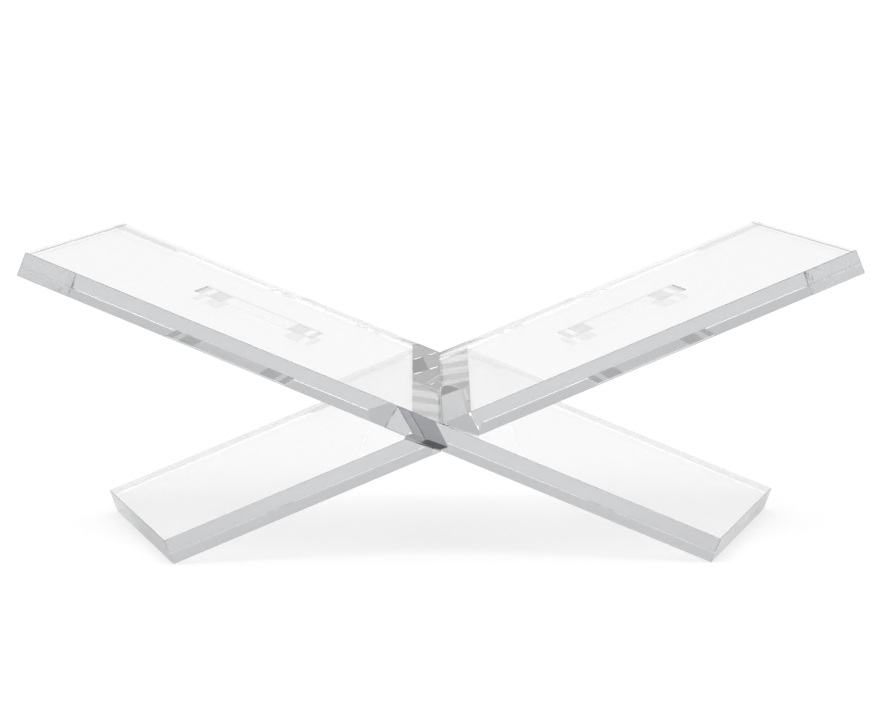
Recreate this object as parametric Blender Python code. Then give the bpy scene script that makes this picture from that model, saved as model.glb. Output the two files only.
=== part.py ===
"""Clear acrylic bible stand: two slotted panels that cross in an X and slide apart.

Each panel is one rectangle of thick cast acrylic with square-cut ends and eased edges. Its long edges
lean in a little towards the top face. Half way along the line where the panels cross, each has a slot
that takes the other panel, so they lock with no fastener. The
left panel's slot opens at the back edge and the right panel's slot at the front edge. A shallow
rectangular recess is cut in the top face of each upper arm, half way up it.

Frame: metres, +Z up, and the reader is at -Y. X = 0 is the plane where the panels meet, the origin is
under the middle of the stand, and the feet stand on Z = 0.
"""

import math

import bmesh
import bpy
from mathutils import Matrix, Vector

# Driving dimensions of one panel, measured from its crossing with the other panel
LEG_LENGTH = 0.200
ARM_LENGTH = 0.250
PANEL_WIDTH = 0.220
PANEL_THICKNESS = 0.015
EDGE_EASE = 0.0003
EDGE_LEAN = math.radians(5.5)

# How the panels stand: the climb of each one, and how far its far end is turned to the back
TILT = math.radians(21.0)
YAW = math.radians(12.0)

# The recess in the top face of each arm, and the clearance left wherever the panels face each other
RECESS_LENGTH = 0.079
RECESS_WIDTH = 0.035
RECESS_DEPTH = 0.0008
FIT_GAP = 0.0003

# How far cutters run past what they cut
REACH = 0.060

UP_AXIS = Vector((0.0, 0.0, 1.0))


def panel_axes(side):
    """Unit vectors up the panel, across it and out of its top face. side is 1 where it climbs to +X."""
    along = Vector((
        side * math.cos(YAW) * math.cos(TILT),
        math.sin(YAW) * math.cos(TILT),
        math.sin(TILT),
    ))
    across = UP_AXIS.cross(along).normalized()
    return along, across, along.cross(across)


def crossing():
    """The middle of the crossing, and the direction in X = 0 in which the valley runs to the back."""
    along, across, out = panel_axes(1)
    valley = (along * -across.x + across * along.x).normalized()
    height = LEG_LENGTH * along.z + PANEL_THICKNESS / 2 * out.z
    back_shift = (ARM_LENGTH - LEG_LENGTH) / 2 * along.y
    return Vector((0.0, -back_shift, height)), valley


def placed(name, mesh, axes, origin):
    """An object whose local X, Y and Z are the three axes, at the origin."""
    obj = bpy.data.objects.new(name, mesh)
    bpy.context.collection.objects.link(obj)
    turn = Matrix(axes).transposed().to_4x4()
    obj.matrix_world = Matrix.Translation(origin) @ turn
    return obj


def box_mesh(name, low, high):
    """A closed box between two local corners."""
    low, high = Vector(low), Vector(high)
    bm = bmesh.new()
    bmesh.ops.create_cube(bm, size=1.0)
    bmesh.ops.scale(bm, vec=high - low, verts=bm.verts)
    bmesh.ops.translate(bm, vec=(high + low) / 2, verts=bm.verts)
    mesh = bpy.data.meshes.new(name)
    bm.to_mesh(mesh)
    bm.free()
    return mesh


def blank_mesh(name, low, high):
    """A box whose two long sides lean in towards its top, and keep their width half way through it."""
    mesh = box_mesh(name, low, high)
    for vertex in mesh.vertices:
        inward = vertex.co.z * math.tan(EDGE_LEAN)
        vertex.co.y -= math.copysign(1.0, vertex.co.y) * inward
    return mesh


def cut(obj, cutter):
    """Take the cutter's shape out of the object, and hide the cutter."""
    boolean = obj.modifiers.new(cutter.name, "BOOLEAN")
    boolean.operation = "DIFFERENCE"
    boolean.solver = "EXACT"
    boolean.object = cutter
    cutter.hide_render = True
    cutter.display_type = "WIRE"


def acrylic(name, colour):
    material = bpy.data.materials.new(name)
    material.use_nodes = True
    shader = material.node_tree.nodes["Principled BSDF"]
    shader.inputs["Base Color"].default_value = colour
    shader.inputs["Roughness"].default_value = 0.02
    shader.inputs["Metallic"].default_value = 0.0
    shader.inputs["IOR"].default_value = 1.49
    shader.inputs["Transmission Weight"].default_value = 1.0
    return material


def panel(name, side, slot_to_back):
    """One panel, with the slot for the other one and the recess in the top of its arm."""
    middle, valley = crossing()
    half_width = PANEL_WIDTH / 2
    half_thick = PANEL_THICKNESS / 2

    low = (-LEG_LENGTH, -half_width, -half_thick)
    high = (ARM_LENGTH, half_width, half_thick)
    sheet = placed(name, blank_mesh(name, low, high), panel_axes(side), middle)

    ease = sheet.modifiers.new("eased_edges", "BEVEL")
    ease.width = EDGE_EASE
    ease.segments = 1

    # The slot is the other panel's thickness, from the middle of the crossing out past one long edge
    out = panel_axes(-side)[2]
    run = valley if slot_to_back else -valley
    slot_half = half_thick + FIT_GAP
    slot_low = (-REACH, -FIT_GAP / 2, -slot_half)
    slot_high = (REACH, PANEL_WIDTH, slot_half)
    slot_mesh = box_mesh(name + "_slot", slot_low, slot_high)
    slot = placed(name + "_slot", slot_mesh, (run.cross(out), run, out), middle)
    cut(sheet, slot)

    # The recess is on the arm's centre line and half way up it
    recess_low = (ARM_LENGTH / 2 - RECESS_LENGTH / 2, -RECESS_WIDTH / 2, half_thick - RECESS_DEPTH)
    recess_high = (ARM_LENGTH / 2 + RECESS_LENGTH / 2, RECESS_WIDTH / 2, half_thick + REACH)
    recess_mesh = box_mesh(name + "_recess", recess_low, recess_high)
    recess = placed(name + "_recess", recess_mesh, panel_axes(side), middle)
    cut(sheet, recess)
    return sheet


def main():
    for obj in list(bpy.data.objects):
        bpy.data.objects.remove(obj, do_unlink=True)
    left = panel("left_panel", -1, True)
    right = panel("right_panel", 1, False)
    left.data.materials.append(acrylic("clear_acrylic_left", (0.95, 0.96, 0.97, 1.0)))
    right.data.materials.append(acrylic("clear_acrylic_right", (0.96, 0.96, 0.97, 1.0)))


main()
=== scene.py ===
"""A clear acrylic bible stand: two thick slotted panels that cross in an X, in a pale studio."""

# %% [markdown]
# # A clear acrylic bible stand
# The stand is two rectangles of thick cast acrylic. Each is given a slot half way across, and the two
# slots hold each other with no screw, which is one reading of how such a stand is joined. The CAD model
# already holds the sizes and the slots, so this lesson starts by loading it, and everything else is
# measured from it.

import math

import bmesh
import bpy
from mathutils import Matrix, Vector


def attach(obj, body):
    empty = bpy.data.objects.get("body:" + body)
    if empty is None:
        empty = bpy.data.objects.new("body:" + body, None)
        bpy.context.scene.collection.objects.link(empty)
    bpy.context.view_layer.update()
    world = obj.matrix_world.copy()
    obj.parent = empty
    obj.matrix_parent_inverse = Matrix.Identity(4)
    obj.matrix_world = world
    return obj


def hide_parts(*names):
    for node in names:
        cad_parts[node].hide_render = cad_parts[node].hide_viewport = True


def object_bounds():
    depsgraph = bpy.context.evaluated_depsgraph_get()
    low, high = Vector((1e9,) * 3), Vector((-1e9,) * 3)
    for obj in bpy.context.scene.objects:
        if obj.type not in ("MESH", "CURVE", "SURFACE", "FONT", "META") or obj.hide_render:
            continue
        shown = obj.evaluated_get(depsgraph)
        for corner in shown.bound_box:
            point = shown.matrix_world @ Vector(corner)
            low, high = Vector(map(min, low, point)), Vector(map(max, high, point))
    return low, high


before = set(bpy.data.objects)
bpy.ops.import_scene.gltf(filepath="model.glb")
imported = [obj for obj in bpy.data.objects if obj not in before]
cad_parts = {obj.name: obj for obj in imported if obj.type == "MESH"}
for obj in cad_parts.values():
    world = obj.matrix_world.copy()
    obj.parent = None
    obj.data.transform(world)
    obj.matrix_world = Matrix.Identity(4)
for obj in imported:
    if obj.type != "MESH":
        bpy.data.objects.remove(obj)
cad_low, cad_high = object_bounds()
print("CAD nodes:", sorted(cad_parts))
print("CAD box in mm:", [round(side * 1000, 1) for side in cad_high - cad_low])

# %% [markdown]
# ## One clean mesh for each sheet
# A CAD mesh arrives as loose triangles: each corner is stored several times. A clear piece shows every
# fault of its mesh, because each ray crosses it many times, so the copy is welded into one closed skin
# and its flat triangles are melted into whole faces. Moving the CAD mesh itself is never needed.

# %% Weld a copy of a CAD sheet
WELD_DISTANCE = 0.000002
FLAT_ANGLE = math.radians(0.2)


def welded_copy(node):
    """A closed bmesh with the CAD node's shape, whose flat areas are single faces."""
    bm = bmesh.new()
    bm.from_mesh(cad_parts[node].data)
    bmesh.ops.remove_doubles(bm, verts=bm.verts, dist=WELD_DISTANCE)
    bmesh.ops.dissolve_limit(bm, angle_limit=FLAT_ANGLE, verts=bm.verts, edges=bm.edges)
    bmesh.ops.recalc_face_normals(bm, faces=bm.faces)
    for face in bm.faces:
        face.smooth = False
    open_edges = sum(not edge.is_manifold for edge in bm.edges)
    print(node, "has", len(bm.faces), "faces and", open_edges, "open edges")
    return bm


# %% [markdown]
# ## The sheet's own directions
# Each sheet leans, so a pattern that runs along it can't use the room's X, Y and Z. The sheet's own
# directions are read from its mesh: its widest face looks out of the sheet, and its longest edge runs
# along it. Anything placed on the sheet is then given in these three directions.


# %% Measure the sheet's directions and middle
def sheet_directions(bm):
    """Unit vectors up the sheet, across it and out of its top face."""
    broad = max(bm.faces, key=lambda face: face.calc_area())
    out = broad.normal.copy()
    if out.z < 0:
        out.negate()
    rim = max(bm.edges, key=lambda edge: edge.calc_length())
    along = (rim.verts[1].co - rim.verts[0].co).normalized()
    if along.z < 0:
        along.negate()
    return along, out.cross(along).normalized(), out


def reach(bm, direction):
    """The lowest and highest place of the sheet in one direction."""
    places = [vert.co.dot(direction) for vert in bm.verts]
    return min(places), max(places)


# %% [markdown]
# ## The engraved panel in each arm
# Half way up each arm is a faint rectangle, taken to be sunk a little into the top face: two matt bars
# at each end with a clear strip between them, and three fine lines that join them. The sunk floor
# is one flat face here. Cutting it with planes keeps it exactly flat and gives each bar its own face,
# which a painted pattern on a clear sheet wouldn't do so sharply.

# %% Cut the bars and lines into the sunk floor
BAR_CUTS = (0.0395, 0.0355, 0.0318, 0.0222)
LINE_PLACES = (0.0105, 0.0030, -0.0060)
LINE_WIDTH = 0.0006
SUNK_LEAST, SUNK_MOST = 0.0003, 0.003
CAST, EDGE, END, MATT, MILLED, ARRIS = range(6)


def cut_at(bm, faces, place, direction, distance):
    """Cut the faces with a plane that far along a direction from a point, and return all the faces."""
    geometry = list(faces)
    geometry += list({edge for face in faces for edge in face.edges})
    geometry += list({vert for face in faces for vert in face.verts})
    made = bmesh.ops.bisect_plane(
        bm, geom=geometry, dist=1e-7, plane_co=place + direction * distance, plane_no=direction
    )
    return [part for part in made["geom"] if isinstance(part, bmesh.types.BMFace)]


def engrave(bm, along, across, out):
    """Give the sunk floor of the arm its matt bars and fine lines."""
    top = reach(bm, out)[1]
    floor = [
        face for face in bm.faces
        if face.normal.dot(out) > 0.99
        and SUNK_LEAST < top - face.calc_center_median().dot(out) < SUNK_MOST
    ]
    centre = Vector((0.0, 0.0, 0.0))
    corners = list({vert for face in floor for vert in face.verts})
    for vert in corners:
        centre += vert.co / len(corners)
    for cut in BAR_CUTS[1:]:
        floor = cut_at(bm, floor, centre, along, cut)
        floor = cut_at(bm, floor, centre, along, -cut)
    for line in LINE_PLACES:
        floor = cut_at(bm, floor, centre, across, line - LINE_WIDTH / 2)
        floor = cut_at(bm, floor, centre, across, line + LINE_WIDTH / 2)
    matt = 0
    for face in floor:
        middle = face.calc_center_median() - centre
        run = abs(middle.dot(along))
        bar = BAR_CUTS[1] < run or BAR_CUTS[3] < run < BAR_CUTS[2]
        nearest = min(abs(middle.dot(across) - place) for place in LINE_PLACES)
        line = run < BAR_CUTS[3] and nearest < LINE_WIDTH / 2
        if bar or line:
            face.material_index = MATT
            matt += 1
    print("engraved", matt, "of", len(floor), "floor faces")


# %% [markdown]
# ## Which finish each face has
# A cast sheet is cast between glass plates, so its two wide faces are mirror smooth. Its edges are sawn
# and then polished: the long ones on a machine, the short ones with a flame, which leaves soft ripples.
# The walls of the slot are taken to be milled and then polished, and every sharp edge is scraped to a
# narrow arris. Each face gets the number of its finish from the way that it looks and from
# its width. A UV map in metres is laid on at the same time, so that ripples and scratches follow the
# sheet whichever way it leans.


# %% Sort the faces and lay out the UV map
ARRIS_WIDTH = 0.001
FACING = 0.985


def finish_of(face, along, across, out):
    """The number of a face's finish."""
    width = 2 * face.calc_area() / sum(edge.calc_length() for edge in face.edges)
    ahead, aside, above = (abs(face.normal.dot(way)) for way in (along, across, out))
    if max(ahead, aside, above) > FACING:
        return (END, EDGE, CAST)[(ahead, aside, above).index(max(ahead, aside, above))]
    return ARRIS if width < ARRIS_WIDTH else MILLED


def finish_faces(bm, along, across, out):
    """Set each face's finish, and a UV map whose unit is one metre of the sheet."""
    grid = bm.loops.layers.uv.new("sheet_metres")
    for face in bm.faces:
        face.material_index = finish_of(face, along, across, out)
        ahead, aside, above = (abs(face.normal.dot(way)) for way in (along, across, out))
        first = across if ahead > max(aside, above) else along
        second = across if above > max(ahead, aside) else out
        for loop in face.loops:
            loop[grid].uv = (loop.vert.co.dot(first), loop.vert.co.dot(second))
    counts = [sum(face.material_index == finish for face in bm.faces) for finish in range(6)]
    print("faces that are cast, edge, end, matt, milled and arris:", counts)


# %% [markdown]
# ## Building the two sheets
# The left and right sheets are made by the same few steps. Each new piece takes the place of its CAD
# node and rides on the same body, so sliding the joint moves the piece that is seen.


# %% Build each sheet from its CAD node
def clear_sheet(name, node, body):
    """One finished sheet that stands for a CAD node."""
    bm = welded_copy(node)
    along, across, out = sheet_directions(bm)
    sizes = [round((reach(bm, way)[1] - reach(bm, way)[0]) * 1000, 1) for way in (along, across, out)]
    print(name, "is", sizes, "mm")
    finish_faces(bm, along, across, out)
    engrave(bm, along, across, out)
    mesh = bpy.data.meshes.new(name)
    bm.to_mesh(mesh)
    bm.free()
    sheet = bpy.data.objects.new(name, mesh)
    bpy.context.collection.objects.link(sheet)
    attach(sheet, body)
    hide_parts(node)
    return sheet


left_sheet = clear_sheet("left_sheet", "left_panel", "left")
right_sheet = clear_sheet("right_sheet", "right_panel", "right")

# %% [markdown]
# ## Colours and nodes
# A colour picked from a real thing is an sRGB hex value, but a shader works with linear light, so one
# function turns one into the other. A second small function adds a node, sets it and links it, which
# keeps each material readable as a list of what it is made of.


# %% A colour helper and a node helper
def linear(hex_colour):
    """sRGB hex to the linear colour that a shader works with."""
    parts = [int(hex_colour[i:i + 2], 16) / 255 for i in (1, 3, 5)]
    return tuple(p / 12.92 if p <= 0.04045 else ((p + 0.055) / 1.055) ** 2.4 for p in parts) + (1.0,)


def add_node(tree, kind, settings=None, **links):
    """A node with its own settings, its inputs set by number or linked from sockets."""
    node = tree.nodes.new(kind)
    for key, value in (settings or {}).items():
        setattr(node, key, value)
    for key, value in links.items():
        socket = node.inputs[int(key[1:])] if key[1:].isdigit() else node.inputs[key.replace("_", " ")]
        if isinstance(value, bpy.types.NodeSocket):
            tree.links.new(value, socket)
        else:
            socket.default_value = value
    return node


print("mid grey #808080 in linear light:", round(linear("#808080")[0], 3))

# %% [markdown]
# ## Cast acrylic
# Cast acrylic is PMMA, whose index of refraction is 1.49. It is so clear that a thin sheet looks
# colourless, yet a look along 220 mm of it is greyer and a little cool. That is absorption inside the
# sheet, so it belongs in the volume: about a third of the light is lost on the way through the width.
# The surface itself loses nothing but what it reflects, so its base colour is white.

# %% One recipe for every finish of the clear sheet
ACRYLIC_IOR = 1.49
LOSS_PER_METRE = 5.4
BODY_TINT = "#cecfd2"
SHEET_WIDTH = 0.220


def clear_body(name):
    """A material with a clear surface over the absorbing body of the sheet."""
    material = bpy.data.materials.new(name)
    material.use_nodes = True
    tree = material.node_tree
    shader = tree.nodes["Principled BSDF"]
    shader.inputs["Base Color"].default_value = linear("#ffffff")
    shader.inputs["IOR"].default_value = ACRYLIC_IOR
    shader.inputs["Transmission Weight"].default_value = 1.0
    absorption = add_node(tree, "ShaderNodeVolumeAbsorption", Density=LOSS_PER_METRE)
    absorption.inputs["Color"].default_value = linear(BODY_TINT)
    tree.links.new(absorption.outputs[0], tree.nodes["Material Output"].inputs["Volume"])
    return material, tree, shader


left_over = [math.exp(-LOSS_PER_METRE * (1 - part) * SHEET_WIDTH) for part in linear(BODY_TINT)[:3]]
print("light left after the sheet's width, by colour:", [round(part, 2) for part in left_over])

# %% [markdown]
# ## The wide faces: cast against glass
# These faces are as smooth as the plates that they were cast on. What the eye finds on a used one is
# wiping haze, which is a roughness that drifts over some 60 mm, and a few hairline scratches about as
# wide as a hair. The sheet's thickness also wanders by hundredths of a millimetre over a hand's
# breadth, which bends what is seen through it very slightly.

# %% Material for the wide faces
HAZE_SIZE = 0.060
SCRATCH_SPACING = 0.018


def cast_face():
    material, tree, shader = clear_body("cast_acrylic_glass_smooth")
    place = add_node(tree, "ShaderNodeUVMap", {"uv_map": "sheet_metres"})
    haze = add_node(
        tree, "ShaderNodeTexNoise", Vector=place.outputs["UV"], Scale=1 / HAZE_SIZE, Detail=3.0
    )
    rough = add_node(tree, "ShaderNodeMapRange", Value=haze.outputs[0])
    rough.inputs["From Min"].default_value = 0.45
    rough.inputs["From Max"].default_value = 0.75
    rough.inputs["To Min"].default_value = 0.0
    rough.inputs["To Max"].default_value = 0.012
    turned = add_node(tree, "ShaderNodeMapping", Vector=place.outputs["UV"])
    turned.inputs["Rotation"].default_value = (0.0, 0.0, math.radians(35.0))
    turned.inputs["Scale"].default_value = (1.0, 9.0, 1.0)
    hair = add_node(
        tree, "ShaderNodeTexVoronoi", {"feature": "DISTANCE_TO_EDGE"},
        Vector=turned.outputs[0], Scale=0.3 / SCRATCH_SPACING,
    )
    line = add_node(tree, "ShaderNodeMapRange", Value=hair.outputs[0])
    line.inputs["From Min"].default_value = 0.0
    line.inputs["From Max"].default_value = 0.006
    line.inputs["To Min"].default_value = 0.02
    line.inputs["To Max"].default_value = 0.0
    both = add_node(
        tree, "ShaderNodeMath", {"operation": "ADD"}, i0=rough.outputs[0], i1=line.outputs[0]
    )
    tree.links.new(both.outputs[0], shader.inputs["Roughness"])
    wave = add_node(tree, "ShaderNodeTexNoise", Vector=place.outputs["UV"], Scale=9.0, Detail=0.0)
    bump = add_node(tree, "ShaderNodeBump", Height=wave.outputs[0], Strength=1.0, Distance=0.00003)
    tree.links.new(bump.outputs[0], shader.inputs["Normal"])
    return material


# %% [markdown]
# ## The long edges: sawn and machine polished
# A saw leaves faint ridges square to the edge, a little over a millimetre apart, and a polishing wheel
# takes them down until only a shimmer is left. A wave texture draws the ridges, a noise breaks up
# their rhythm, and the bump height is a few thousandths of a millimetre.

# %% Material for the long edges
RIDGE_SPACING = 0.0014
RIDGE_HEIGHT = 0.000002


def polished_edge():
    material, tree, shader = clear_body("cast_acrylic_sawn_and_wheel_polished")
    place = add_node(tree, "ShaderNodeUVMap", {"uv_map": "sheet_metres"})
    ridge = add_node(
        tree, "ShaderNodeTexWave", {"wave_type": "BANDS", "bands_direction": "X"},
        Vector=place.outputs["UV"], Scale=0.05 / RIDGE_SPACING * 2 * math.pi, Distortion=1.5,
    )
    ridge.inputs["Detail Scale"].default_value = 2.0
    bump = add_node(
        tree, "ShaderNodeBump", Height=ridge.outputs["Fac"], Strength=1.0, Distance=RIDGE_HEIGHT
    )
    tree.links.new(bump.outputs[0], shader.inputs["Normal"])
    wipe = add_node(tree, "ShaderNodeTexNoise", Vector=place.outputs["UV"], Scale=40.0, Detail=2.0)
    rough = add_node(tree, "ShaderNodeMapRange", Value=wipe.outputs[0])
    rough.inputs["To Min"].default_value = 0.0
    rough.inputs["To Max"].default_value = 0.02
    tree.links.new(rough.outputs[0], shader.inputs["Roughness"])
    return material


# %% [markdown]
# ## The short ends: sawn and flame polished
# A flame melts the saw marks instead of grinding them, so they become soft ripples a few millimetres
# apart that bend what is seen through the end into bands.

# %% Material for the short ends
RIPPLE_SPACING = 0.0045
RIPPLE_HEIGHT = 0.00012


def flamed_end():
    material, tree, shader = clear_body("cast_acrylic_sawn_and_flame_polished")
    place = add_node(tree, "ShaderNodeUVMap", {"uv_map": "sheet_metres"})
    ripple = add_node(
        tree, "ShaderNodeTexWave", {"wave_type": "BANDS", "bands_direction": "X"},
        Vector=place.outputs["UV"], Scale=0.05 / RIPPLE_SPACING * 2 * math.pi, Distortion=3.0,
    )
    bump = add_node(
        tree, "ShaderNodeBump", Height=ripple.outputs["Fac"], Strength=1.0, Distance=RIPPLE_HEIGHT
    )
    tree.links.new(bump.outputs[0], shader.inputs["Normal"])
    shader.inputs["Roughness"].default_value = 0.02
    return material


# %% [markdown]
# ## The engraved bars: half-matt acrylic
# An engraved bar is cut by a fine tool that leaves thousands of tiny facets, so it scatters most of the
# light and looks grey beside the clear sheet. About a third still goes through. A grain of about 0.3 mm
# keeps it from looking like flat paint.

# %% Material for the engraved bars
GRAIN = 0.0003
BAR_CLEAR = 0.35


def matt_bar():
    material, tree, shader = clear_body("acrylic_engraved_matt")
    shader.inputs["Transmission Weight"].default_value = BAR_CLEAR
    place = add_node(tree, "ShaderNodeUVMap", {"uv_map": "sheet_metres"})
    grain = add_node(tree, "ShaderNodeTexNoise", Vector=place.outputs["UV"], Scale=1 / GRAIN, Detail=1.0)
    rough = add_node(tree, "ShaderNodeMapRange", Value=grain.outputs[0])
    rough.inputs["To Min"].default_value = 0.05
    rough.inputs["To Max"].default_value = 0.12
    tree.links.new(rough.outputs[0], shader.inputs["Roughness"])
    return material


# %% [markdown]
# ## The slot walls and the arrises
# A milling cutter leaves feed marks about half a millimetre apart across the slot's wall. The wall is
# taken to be polished after that: a dull wall would stop the light that runs inside the sheet, and
# blacken the edge beside it. A scraped arris is a little duller, but it is so narrow that only its softness
# shows. Both are the same clear body with its own skin, so one function with two numbers makes them.

# %% Materials for the slot walls and the arrises
FEED_MARKS = 0.0005


def skinned(name, least, most):
    material, tree, shader = clear_body(name)
    place = add_node(tree, "ShaderNodeUVMap", {"uv_map": "sheet_metres"})
    marks = add_node(
        tree, "ShaderNodeTexWave", {"wave_type": "BANDS", "bands_direction": "X"},
        Vector=place.outputs["UV"], Scale=0.05 / FEED_MARKS * 2 * math.pi, Distortion=2.0,
    )
    rough = add_node(tree, "ShaderNodeMapRange", Value=marks.outputs["Fac"])
    rough.inputs["To Min"].default_value = least
    rough.inputs["To Max"].default_value = most
    tree.links.new(rough.outputs[0], shader.inputs["Roughness"])
    return material


# %% Put the finishes on both sheets
milled_wall = skinned("cast_acrylic_milled_and_polished_slot_wall", 0.0, 0.02)
scraped_arris = skinned("cast_acrylic_scraped_arris", 0.02, 0.05)
finishes = [cast_face(), polished_edge(), flamed_end(), matt_bar(), milled_wall, scraped_arris]
for sheet in (left_sheet, right_sheet):
    for finish in finishes:
        sheet.data.materials.append(finish)
print("finishes:", [finish.name for finish in finishes])

# %% [markdown]
# ## The floor
# The stand is on a light table: a wide white sheet that is lit from below as well as from
# above, which keeps the shadow under a clear thing pale. It is one large plane. The sheet has a faint
# mottle a few centimetres across.

# %% Pale light table
GLOW = 0.70
FLOOR_HALF = 30.0
FLOOR_GAP = 0.0002


def light_table():
    bm = bmesh.new()
    bmesh.ops.create_grid(bm, x_segments=1, y_segments=1, size=FLOOR_HALF)
    mesh = bpy.data.meshes.new("floor")
    bm.to_mesh(mesh)
    bm.free()
    floor = bpy.data.objects.new("floor", mesh)
    bpy.context.collection.objects.link(floor)
    floor.location.z = cad_low.z - FLOOR_GAP
    material = bpy.data.materials.new("opal_white_light_table")
    material.use_nodes = True
    tree = material.node_tree
    shader = tree.nodes["Principled BSDF"]
    place = add_node(tree, "ShaderNodeTexCoord")
    mottle = add_node(tree, "ShaderNodeTexNoise", Vector=place.outputs["Object"], Scale=30.0, Detail=2.0)
    tone = add_node(tree, "ShaderNodeMix", {"data_type": "RGBA"}, i0=mottle.outputs[0])
    tone.inputs[6].default_value = linear("#999999")
    tone.inputs[7].default_value = linear("#9d9d9d")
    tree.links.new(tone.outputs[2], shader.inputs["Base Color"])
    shader.inputs["Roughness"].default_value = 0.8
    shader.inputs["Specular IOR Level"].default_value = 0.1
    shader.inputs["Emission Color"].default_value = linear("#ffffff")
    shader.inputs["Emission Strength"].default_value = GLOW
    mesh.materials.append(material)
    return floor


floor = light_table()
print("floor at", round(floor.location.z * 1000, 2), "mm")

# %% [markdown]
# ## Soft studio light
# A clear thing has no look of its own: it shows what stands around it. The studio is white behind and
# above the stand, and dimmer on the camera's side, where the room isn't lit. That dim side is what
# draws the thin dark lines inside the far edges. One broad light above the front lays a soft shadow
# behind the feet.

# %% Studio surroundings and the broad light
BACKDROP = 1.0
ROOM = 0.50
OVERHEAD = 0.80
SUN_STRENGTH = 1.15
SUN_SPREAD = math.radians(50.0)
SUN_TURN = (math.radians(18.0), math.radians(-4.0), 0.0)


def studio():
    world = bpy.data.worlds.new("studio")
    bpy.context.scene.world = world
    world.use_nodes = True
    tree = world.node_tree
    place = add_node(tree, "ShaderNodeTexCoord")
    parts = add_node(tree, "ShaderNodeSeparateXYZ", Vector=place.outputs["Generated"])
    side = add_node(
        tree, "ShaderNodeMapRange", {"interpolation_type": "SMOOTHSTEP"}, Value=parts.outputs[1]
    )
    side.inputs["From Min"].default_value = -0.75
    side.inputs["From Max"].default_value = 0.25
    side.inputs["To Min"].default_value = ROOM
    side.inputs["To Max"].default_value = BACKDROP
    rise = add_node(
        tree, "ShaderNodeMapRange", {"interpolation_type": "SMOOTHSTEP"}, Value=parts.outputs[2]
    )
    rise.inputs["From Min"].default_value = 0.05
    rise.inputs["From Max"].default_value = 0.45
    rise.inputs["To Min"].default_value = 1.0
    rise.inputs["To Max"].default_value = OVERHEAD
    both = add_node(
        tree, "ShaderNodeMath", {"operation": "MULTIPLY"}, i0=side.outputs[0], i1=rise.outputs[0]
    )
    tree.links.new(both.outputs[0], tree.nodes["Background"].inputs["Strength"])
    tree.nodes["Background"].inputs["Color"].default_value = linear("#ffffff")
    light = bpy.data.lights.new("broad_light", "SUN")
    light.energy = SUN_STRENGTH
    light.angle = SUN_SPREAD
    lamp = bpy.data.objects.new("broad_light", light)
    bpy.context.collection.objects.link(lamp)
    lamp.rotation_euler = SUN_TURN


studio()
print("studio: backdrop", BACKDROP, "room", ROOM, "overhead", OVERHEAD)

# %% [markdown]
# ## The camera
# The stand is seen from the reader's side, a little above its own height, through a long lens, which
# keeps the two arms nearly parallel to the picture. Its view is a direction worked out from a turn
# and a dip, and a slight roll is added last.

# %% Camera
CAMERA_PLACE = Vector((-0.01409934, -2.90158602, 0.42688228))
CAMERA_YAW = 0.00407296
CAMERA_PITCH = 0.11110221
CAMERA_ROLL = -0.00279702
LENS_MM = 196.2


def studio_camera():
    view = Vector((
        math.sin(CAMERA_YAW) * math.cos(CAMERA_PITCH),
        math.cos(CAMERA_YAW) * math.cos(CAMERA_PITCH),
        -math.sin(CAMERA_PITCH),
    ))
    data = bpy.data.cameras.new("camera")
    data.sensor_width = 36.0
    data.lens = LENS_MM
    data.clip_end = 100.0
    camera = bpy.data.objects.new("camera", data)
    bpy.context.collection.objects.link(camera)
    camera.location = CAMERA_PLACE
    camera.rotation_mode = "QUATERNION"
    camera.rotation_quaternion = view.to_track_quat("-Z", "Y")
    camera.rotation_mode = "XYZ"
    camera.rotation_euler.rotate_axis("Z", CAMERA_ROLL)
    bpy.context.scene.camera = camera
    return view


print("camera looks along", [round(part, 4) for part in studio_camera()])

# %% [markdown]
# ## Light paths and tone
# A ray inside a clear sheet may bounce many times before it gets out, and each bounce inside counts as
# a reflection, so the limits are raised. The plain Standard tone keeps white paper white.

# %% Bounces and tone
paths = bpy.context.scene.cycles
paths.max_bounces = 24
paths.glossy_bounces = 24
paths.transmission_bounces = 24
paths.transparent_max_bounces = 16
bpy.context.scene.view_settings.view_transform = "Standard"
